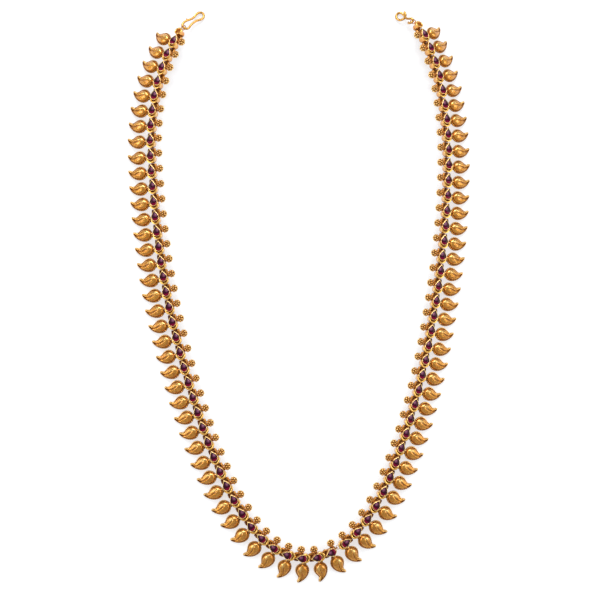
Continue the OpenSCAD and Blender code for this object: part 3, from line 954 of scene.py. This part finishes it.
# %% Jump rings
WIRE_R = 0.2
RING_STEPS = 26
ring = Form().add(*wire(lifted(circle(RING_STEPS, RING_R), 0), WIRE_R, sides=8, closed=True), CLEAN)
joint_places = [on_joint(j) for j in range(LINKS + 1)]
rings = on_both_sides("rings", ring, {"left": joint_places[:LEFT_LINKS], "right": joint_places[LEFT_LINKS:]})

# %% [markdown]
# Each end has an empty cup, with one upright eye for the last jump ring and one flat eye for the
# larger end ring. It is the stones' cup with a smaller rim, so the same function makes it.

# %% End cups
END_CUP_REACH = 2.85
END_CUP_R = 2.6
END_ROOM_Y = 1.8
# No stone shades this hollow, so it gets less than half the painted shade
END_HOLLOW_SHADE = 0.45
# The flat eye, and the space between its hole and the cup's rim
END_EYE_R = 0.85
END_EYE_HOLE_R = 0.45
END_EYE_SPACE = 0.03
END_EYE_Y = END_CUP_REACH + END_CUP_R + END_EYE_HOLE_R + END_EYE_SPACE

points, faces, shade_and_dirt = cup(END_CUP_R, END_CUP_REACH, END_HOLLOW_SHADE)
end_cup = Form().add(with_room(points, END_ROOM_Y), faces, shade_and_dirt)
end_cup.add(*eye((0, RING_R, EYE_Z), *LUG), DULL)
flat_eye = eye((0, END_EYE_Y, EYE_Z), END_EYE_R, END_EYE_HOLE_R, half=0.35, sides=20, upright=False)
end_cup.add(*flat_eye, CLEAN)
end_cups = on_both_sides("end_cup_of", end_cup, {side: [on_end(side) @ moved(0, 0, -EYE_Z)] for side in ENDS})

# %% [markdown]
# The hooks are bent from thick wire, and the wearer hooks or ties them together at the back.
# A curve with a round bevel could make the wire, but the mesh keeps the same path as the
# solids, so a wire passes through its ring where it should.

# %% The hooks' paths
# The bent paths. Columns: away from the ring, across, up
HOOKS = {
    "left": [
        (3.6, -1.4, 0), (5.6, -0.5, 0), (8.2, 0.1, 0), (10.4, 0.2, 0), (12.2, -0.1, 0), (14.3, -0.1, 0),
        (16.1, 1.1, 0), (16.3, 3.0, 0), (14.9, 4.1, 0), (13.0, 4.2, 0), (10.8, 3.4, 0), (8.7, 2.8, 0),
        (6.3, 2.8, 0), (4.1, 3.0, 0), (1.9, 2.7, 0), (0.3, 1.9, 0), (-0.15, 0.5, 0), (0.2, -0.8, 0),
        (1.4, -1.7, 0), (2.8, -1.8, 0),
    ],
    "right": [
        (6.8, -4.0, 1.5), (5.8, -2.8, 1.3), (5.4, -1.6, 1.1), (5.7, -0.4, 0.9), (6.9, 0.6, 0.4),
        (8.5, 1.2, 0), (10.3, 0.9, 0), (11.6, -0.3, 0), (11.8, -1.8, 0), (11.1, -3.1, 0),
        (9.7, -3.6, -0.1), (8.1, -3.2, -0.4), (6.6, -2.3, -0.8), (5.1, -1.4, -1.0), (3.5, -1.1, -0.3),
        (1.7, -1.7, -0.3), (0.5, -1.2, -0.4), (0, 0, 0), (0.5, 1.2, 0.4), (1.7, 1.7, 0.1),
        (2.7, 1.3, -0.9), (3.1, 0.6, -1.7),
    ],
}
# A granule closes the left hook's loop
HOOK_GRANULE = (4.8, 3.8, 0)
HOOK_GRANULE_R = 0.5
HOOK_LENGTHS = {side: max(away for away, across, up in HOOKS[side]) for side in ENDS}
print("lengths of the hooks in mm:", HOOK_LENGTHS)

# %% End rings and hooks
END_RING_R = 1.65
END_RING_WIRE_R = 0.28
END_RING_STEPS = 36
HOOK_WIRE_R = 0.74
HOOK_SIDES = 18
HOOK_STEPS = 7
# Space between the hook's far end and the sheet
HOOK_LIFT = 0.05
# Painted shade low on the wire's sides, and the painted highlight on its top
HOOK_SHADE = 0.6
HOOK_HIGHLIGHT = 0.9
# The hook's wire lies halfway between the flat eye's edge and the far side of the ring
HOOK_Y = (END_EYE_R + 2 * END_RING_R - END_RING_WIRE_R) / 2


def ring_place(side):
    return on_end(side) @ moved(0, END_EYE_Y, 0) @ turned("z", ENDS[side][3])


def hook_place(side):
    x, y, z = (ring_place(side) @ [0, HOOK_Y, 0, 1])[:3]
    slope = math.degrees(math.asin((z - HOOK_WIRE_R - HOOK_LIFT) / HOOK_LENGTHS[side]))
    return moved(x, y, z) @ turned("z", ENDS[side][4]) @ turned("y", slope)


upright = lifted(circle(END_RING_STEPS, END_RING_R), 0) @ turned("x", 90)[:3, :3].T
end_ring = Form().add(*wire(upright, END_RING_WIRE_R, sides=12, closed=True), CLEAN)
end_rings, hooks = {}, {}
for side in ENDS:
    stand = ring_place(side) @ moved(0, END_RING_R, 0) @ turned("z", 90)
    end_rings[side] = stamp("end_ring_of_" + side, end_ring, [stand])
    points, faces = wire(smooth_curve(HOOKS[side], HOOK_STEPS), HOOK_WIRE_R, HOOK_SIDES)
    # The wire's top is painted bright and its sides darker, as light falls from above
    lit_top = HOOK_SHADE - HOOK_HIGHLIGHT * np.clip(circle(HOOK_SIDES)[:, 1], 0, 1)
    hook = Form().add(points, faces, np.tile(lit_top, len(points) // HOOK_SIDES))
    if side == "left":
        hook.add(*ball(HOOK_GRANULE, HOOK_GRANULE_R, sides=16, rows=9))
    hooks[side] = stamp("hook_of_" + side, hook, [hook_place(side)])

# %% [markdown]
# ## Shader maths in plain Python
#
# A material is a tree of nodes. Adding Math nodes by hand takes four lines for one sum, so a
# small class wraps a socket: an expression such as 1 - mask adds the nodes by itself. Colours
# don't go through Math nodes, which would turn them grey; they go through Mix. Every other
# node comes from one method, which sets the node's settings first and its sockets after.

# %% A socket that can be used in an expression
class Signal:
    """A value that changes over the surface. Sums and products of it add Math nodes."""

    def __init__(self, socket):
        self.socket = socket

    @staticmethod
    def set_sockets(node, sockets):
        """Links a socket where its value is a signal, and sets it to the plain value otherwise."""
        for name, value in sockets.items():
            if isinstance(value, Signal):
                node.id_data.links.new(value.socket, node.inputs[name])
            else:
                node.inputs[name].default_value = value

    @staticmethod
    def node(tree, kind, settings, sockets, out=0):
        """A node of any kind. Sockets that share a name are called by number."""
        node = tree.nodes.new(kind)
        for name, value in settings.items():
            if name == "stops":
                while len(node.color_ramp.elements) < len(value):
                    node.color_ramp.elements.new(0.5)
                for stop, (position, shade) in zip(node.color_ramp.elements, value):
                    stop.position, stop.color = position, shade
            else:
                setattr(node, name, value)
        Signal.set_sockets(node, sockets)
        return Signal(node.outputs[out])

    def maths(self, operation, first, second, clamp=False):
        settings = {"operation": operation, "use_clamp": clamp}
        return Signal.node(self.socket.id_data, "ShaderNodeMath", settings, {0: first, 1: second})

    def __add__(self, other):
        return self.maths("ADD", self, other)

    def __sub__(self, other):
        return self.maths("SUBTRACT", self, other)

    def __mul__(self, other):
        return self.maths("MULTIPLY", self, other)

    def __rsub__(self, other):
        return self.maths("SUBTRACT", other, self)

    __radd__ = __add__
    __rmul__ = __mul__

    def clamped(self):
        return self.maths("ADD", self, 0.0, clamp=True)


# %% [markdown]
# A colour is easiest to judge as a screen shows it, but sockets expect amounts of light, so one
# function turns the one into the other. Noise makes the clouds and scratches of worn metal,
# and no picture is needed for it. It is laid out by each form's own place, which never slides.

# %% Colours, noises and materials
def colour(red, green, blue):
    """A colour as a screen shows it, 0 to 255, turned into the linear values that Blender uses."""
    # The numbers are the standard curve between a screen's values and light
    linear = [((v / 255 + 0.055) / 1.055) ** 2.4 if v > 10 else v / 255 / 12.92 for v in (red, green, blue)]
    return (*linear, 1.0)


def mix(tree, share, first, second):
    return Signal.node(tree, "ShaderNodeMix", {"data_type": "RGBA"}, {0: share, 6: first, 7: second}, out=2)


def noise(tree, at, scale, detail, roughness):
    sockets = {"Vector": at, "Scale": scale, "Detail": detail, "Roughness": roughness}
    return Signal.node(tree, "ShaderNodeTexNoise", {}, sockets)


def stored(tree, name, out):
    """What the stamp wrote at each point. Output 1 gives a place, output 2 a number."""
    return Signal.node(tree, "ShaderNodeAttribute", {"attribute_name": name}, {}, out)


def new_material(name):
    """A material with its tree of nodes and its shader."""
    material = bpy.data.materials.new(name)
    material.use_nodes = True
    return material, material.node_tree, material.node_tree.nodes["Principled BSDF"]


print("polished gold in linear values:", [round(v, 2) for v in colour(245, 215, 130)])

# %% [markdown]
# ## The gold
#
# Antique gold isn't one colour. Polished edges are pale yellow, the body is a warm orange gold, and the
# corners hold a red-brown grime. The form's tone also paints light into the gold: painted highlights in the
# pale yellow, painted shade in the red-brown. The same recipe serves all gold pieces, with its own colour,
# gloss and depth of hammer marks for each.

# %% The gold's recipe
# The red-brown of grime and of painted shade
GRIME_AND_SHADE = colour(88, 27, 8)
# The noises in the metal. Columns: scale for each millimetre, detail, roughness
CLOUD = (0.55, 3.0, 0.6)
SPECK = (1.3, 2.0, 0.6)
GRAIN = (3.5, 2.0, 0.5)
SCRATCH = (16.0, 1.0, 0.5)
# How the gold brightens as its tone falls below zero, rubbed and with painted highlights: everywhere, and
# more in the clouds
SHEEN_AND_RUB_GAIN = 1.2
SHEEN_AND_RUB_EVEN = 0.45
# Pits hold a little grime where the specks are above a level
PIT_ABOVE = 0.6
PIT_DARK = 0.8
# Grime and painted shade follow the tone: evenly, in clouds, and in grains above a level
SHADE_GRIME_EVEN = 0.55
SHADE_GRIME_CLOUDY = 0.9
SHADE_GRIME_GRAINY = 0.8
GRAIN_ABOVE = 0.62
# The worn colour comes through in clouds and specks above a level
WORN_CLOUDY = 1.6
WORN_SPECKY = 2.2
WORN_ABOVE = 1.4
# What grain, grime with painted shade, and rubbing with painted highlights do to the roughness, and grime
# with painted shade to the metal
GRAIN_ROUGHENS = 0.14
GRIME_ROUGHENS = 0.45
RUBBING_SMOOTHS = 0.1
SHADE_GRIME_HIDES = 0.95
COAT = 0.9
GOLD_SOCKETS = {"Coat Roughness": 0.18, "Coat IOR": 1.55, "Specular IOR Level": 0.15}
# Height of the hammer marks in metres, and each noise's share in them
HAMMER_HEIGHT = 0.0004
HAMMER_MARKS = (0.5, 0.35, 0.25, 0.08)
print("dark grime in linear values:", [round(v, 3) for v in GRIME_AND_SHADE])


# %% The gold finishes
def gold(name, body, worn, bright, roughness, hammer):
    material, tree, shader = new_material(name)
    own, tone = stored(tree, "own", 1), stored(tree, "tone", 2)
    noises = [noise(tree, own, *kind) for kind in (CLOUD, SPECK, GRAIN, SCRATCH)]
    cloud, speck, grain = noises[:3]
    # Below zero the tone brightens the gold with rubbing and painted highlights, above zero it darkens it
    # with grime and painted shade
    rubbed_and_highlit = (-SHEEN_AND_RUB_GAIN * tone * (SHEEN_AND_RUB_EVEN + cloud)).clamped()
    pits = (speck - PIT_ABOVE) * PIT_DARK * (1 - rubbed_and_highlit)
    shade_and_grime = tone.clamped()
    grains = (grain - GRAIN_ABOVE) * SHADE_GRIME_GRAINY * shade_and_grime
    shade_and_dirt = (shade_and_grime * (SHADE_GRIME_EVEN + SHADE_GRIME_CLOUDY * cloud) + grains + pits).clamped()
    wear = (cloud * WORN_CLOUDY + speck * WORN_SPECKY - WORN_ABOVE).clamped()
    finish_with_painted_light = mix(tree, shade_and_dirt, mix(tree, rubbed_and_highlit, mix(tree, wear, body, worn), bright), GRIME_AND_SHADE)
    grainy = roughness + GRAIN_ROUGHENS * (grain - 0.5)
    gloss = grainy + GRIME_ROUGHENS * shade_and_dirt - RUBBING_SMOOTHS * rubbed_and_highlit
    relief = sum(kind * share for kind, share in zip(noises, HAMMER_MARKS))
    hammered = {"Strength": hammer, "Distance": HAMMER_HEIGHT, "Height": relief}
    Signal.set_sockets(shader, GOLD_SOCKETS | {
        "Base Color": finish_with_painted_light, "Roughness": gloss.clamped(), "Metallic": 1 - SHADE_GRIME_HIDES * shade_and_dirt,
        "Coat Weight": COAT - COAT * shade_and_dirt, "Normal": Signal.node(tree, "ShaderNodeBump", {}, hammered),
    })
    return material


# Columns: colours of the body, of worn places and of rubbed edges and painted highlights, roughness, hammer
# marks
GOLDS = {
    "drop_gold": (colour(198, 118, 22), colour(238, 172, 62), colour(255, 214, 130), 0.28, 0.6),
    "bezel_gold": (colour(238, 166, 76), colour(248, 190, 102), colour(255, 218, 144), 0.36, 0.08),
    "cup_gold": (colour(228, 150, 56), colour(242, 180, 82), colour(255, 204, 98), 0.3, 0.12),
    "bead_gold": (colour(204, 122, 28), colour(236, 168, 62), colour(255, 224, 146), 0.18, 0.3),
    "wire_gold": (colour(202, 134, 38), colour(226, 164, 62), colour(246, 204, 110), 0.26, 0.45),
}
golds = {name: gold(name, *recipe) for name, recipe in GOLDS.items()}
print("gold finishes:", list(golds))

# %% [markdown]
# ## The ruby
#
# The stones are purple red, darker under the flat table and brighter in the facets that catch
# the light. Real glass shading needs many bounces and many samples to look clean, and inside
# a closed setting little light comes back. So the stone is solid colour under a hard clear
# gloss, and the tone of each facet stands for the light that a real stone sends back.

# %% The ruby finish
RUBY_CLOUD = (0.35, 2.0, 0.5)
RUBY_CLOUDY = 0.16
# From the shine at the tip over the dark middle to the glow at the round end
RUBY_STOPS = [
    (0.0, colour(148, 90, 120)), (0.45, colour(44, 0, 20)),
    (0.6, colour(60, 0, 26)), (1.0, colour(150, 0, 58)),
]
RUBY_SOCKETS = {"Roughness": 0.1, "IOR": 1.76, "Specular IOR Level": 0.08}


def ruby(name):
    material, tree, shader = new_material(name)
    cloud = noise(tree, stored(tree, "own", 1), *RUBY_CLOUD)
    glow = stored(tree, "tone", 2) + RUBY_CLOUDY * (cloud - 0.5)
    body = Signal.node(tree, "ShaderNodeValToRGB", {"stops": RUBY_STOPS}, {"Fac": glow})
    Signal.set_sockets(shader, RUBY_SOCKETS | {"Base Color": body})
    return material


ruby_cut = ruby("ruby_cut")
print("ruby finish:", ruby_cut.name)

# %% [markdown]
# ## Which piece stands for which solid
#
# Every piece rides on the one body of the necklace, takes its finish and stands for the solid that it
# replaces, which is hidden.

# %% Dress the solids
# Columns: the pieces of both sides, their finish, the name of their solid before its side
DRESSED = [
    (mangos, golds["drop_gold"], "settings_"), (bezels, golds["bezel_gold"], "settings_"),
    (cups, golds["cup_gold"], "settings_"), (plates, golds["cup_gold"], "settings_"),
    (flowers, golds["bead_gold"], "settings_"), (rubies, ruby_cut, "rubies_"),
    (rings, golds["wire_gold"], "rings_"), (end_cups, golds["cup_gold"], "end_cup_"),
    (end_rings, golds["wire_gold"], "end_ring_"), (hooks, golds["wire_gold"], "hook_"),
]
for side in ENDS:
    for pieces, finish_with_painted_light, node in DRESSED:
        pieces[side].data.materials.append(finish_with_painted_light)
        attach(pieces[side], "root")
        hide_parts(node + side)
print("pieces dressed:", len(ENDS) * len(DRESSED))

# %% [markdown]
# ## Floor, light and camera
#
# The necklace lies on a white sheet that glows a little, like a light table, which keeps the
# shadows thin. Large soft boxes light it from both sides and from the top, as small shiny
# things usually are. Metal shows what is around it, so the boxes are what draws the bright
# edges, and the darker gaps between them give the gold its depth.

# %% The floor
FLOOR_SIZE = 24.0
FLOOR_SOCKETS = {
    "Base Color": (0.5, 0.52, 0.545, 1), "Roughness": 0.8,
    "Emission Color": (0.98, 0.99, 1, 1), "Emission Strength": 0.62,
}

h = FLOOR_SIZE / 2
square = bpy.data.meshes.new("floor")
square.from_pydata([(-h, -h, 0), (h, -h, 0), (h, h, 0), (-h, h, 0)], [], [(0, 1, 2, 3)])
floor = placed("floor", square)
paper, _, paper_shader = new_material("white_paper")
Signal.set_sockets(paper_shader, FLOOR_SOCKETS)
floor.data.materials.append(paper)
print("floor:", FLOOR_SIZE, "m wide")

# %% The lights
AIM = Vector((-0.0001, -0.0064, 0.0))
# Columns: azimuth and elevation in degrees, distance and width in metres, power in watts.
# Azimuth 0 is the right of the photo.
SOFT_BOXES = {
    "top_box": (92, 44, 1.3, 0.7, 8.8),
    "left_box": (185, 32, 1.3, 0.6, 3.7),
    "right_box": (-5, 32, 1.3, 0.6, 3.3),
}
ROOM_SOCKETS = {"Color": (1, 1, 1, 1), "Strength": 0.5}


def soft_box(name, azimuth, elevation, distance, size, power):
    """A square soft light that points at the necklace."""
    a, e = math.radians(azimuth), math.radians(elevation)
    away = Vector((math.cos(e) * math.cos(a), math.cos(e) * math.sin(a), math.sin(e)))
    lamp = bpy.data.lights.new(name, "AREA")
    lamp.shape, lamp.size, lamp.energy = "SQUARE", size, power
    box = placed(name, lamp)
    box.location = AIM + distance * away
    box.rotation_euler = (AIM - box.location).to_track_quat("-Z", "Y").to_euler()


for name, values in SOFT_BOXES.items():
    soft_box(name, *values)
world = bpy.data.worlds.new("room")
bpy.context.scene.world = world
world.use_nodes = True
Signal.set_sockets(world.node_tree.nodes["Background"], ROOM_SOCKETS)
bpy.context.scene.view_settings.view_transform = "Standard"

# %% [markdown]
# The camera looks almost straight down from 80 cm, a little from the front and from the left.
# Its angle of view follows from the scale: one point of a 600 by 600 picture covers 0.618 mm
# of the sheet. A camera looks along its own -Z, so its three axes are worked out and set.

# %% The camera
PICTURE = 600
SCALE = 0.618 * MM
DISTANCE = 0.8
FROM_FRONT = math.radians(6)
FROM_LEFT = math.radians(4)
back = Vector((-math.sin(FROM_LEFT), -math.sin(FROM_FRONT) * math.cos(FROM_LEFT),
               math.cos(FROM_FRONT) * math.cos(FROM_LEFT)))
right = Vector((0, 1, 0)).cross(back).normalized()
lens = bpy.data.cameras.new("camera")
lens.angle = 2 * math.atan(PICTURE * SCALE / 2 / DISTANCE)
camera = placed("camera", lens)
camera.location = AIM + DISTANCE * back
camera.rotation_euler = Matrix((right, back.cross(right), back)).transposed().to_euler()
bpy.context.scene.camera = camera
print("camera at:", [round(v, 3) for v in camera.location])
